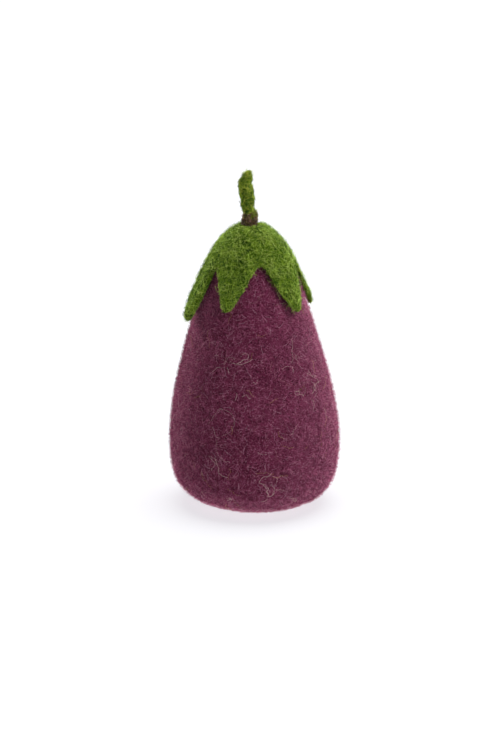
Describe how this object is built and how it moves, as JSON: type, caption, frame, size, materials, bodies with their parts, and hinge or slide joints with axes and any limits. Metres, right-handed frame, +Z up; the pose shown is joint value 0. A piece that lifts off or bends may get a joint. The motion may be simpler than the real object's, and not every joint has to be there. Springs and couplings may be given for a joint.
{
  "type": "felt eggplant",
  "caption": "Play or display eggplant in felted wool: a plump purple body that stands on its flat foot, a green cap with pointed lobes and a bent green stem.",
  "frame": {"origin": "on the surface it stands on, under the middle of the body's box", "axes": "+Z up along the body to the stem, -Y towards the viewer of the picture, +X to their right"},
  "size_m": [0.0678, 0.0684, 0.1359],
  "materials": {
    "purple_felt": "matte felted wool with loose pale hairs",
    "green_felt": "matte, fuzzy felted wool",
    "plum_wool": "matte, loose dark wool",
    "stem_felt": "matte, fuzzy felted wool"
  },
  "bodies": {
    "root": {"body": "purple_felt", "cap": "green_felt", "root_tuft": "plum_wool", "stem": "stem_felt"}
  },
  "joints": []
}
